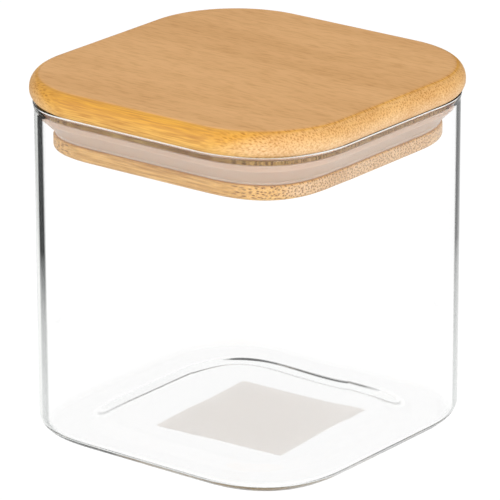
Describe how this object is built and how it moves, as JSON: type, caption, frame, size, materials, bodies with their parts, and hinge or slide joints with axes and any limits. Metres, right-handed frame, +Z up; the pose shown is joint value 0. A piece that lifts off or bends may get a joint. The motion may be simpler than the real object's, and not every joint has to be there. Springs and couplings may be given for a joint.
{
  "type": "glass storage jar",
  "caption": "Square clear glass storage jar with round corners and a push-in bamboo lid sealed by a flared silicone ring.",
  "frame": {"origin": "middle of the jar's footprint, on the surface it stands on", "axes": "+Z up through the middle of the jar and lid, +X along the lid's grain, -Y the front"},
  "size_m": [0.1044, 0.1044, 0.1051],
  "materials": {
    "glass": "clear blown glass, fire-polished rim",
    "paper": "matt blank label",
    "bamboo": "sanded bamboo, thin satin lacquer",
    "silicone": "moulded translucent silicone"
  },
  "bodies": {
    "jar": {"glass_jar": "glass", "base_label": "paper"},
    "lid": {"lid_board": "bamboo", "lid_plug": "bamboo", "seal_ring": "silicone"}
  },
  "joints": [
    {"name": "lid_lift", "type": "slide", "parent": "jar", "child": "lid", "axis": [0, 0, 1], "range_m": [0, 0.06]}
  ]
}
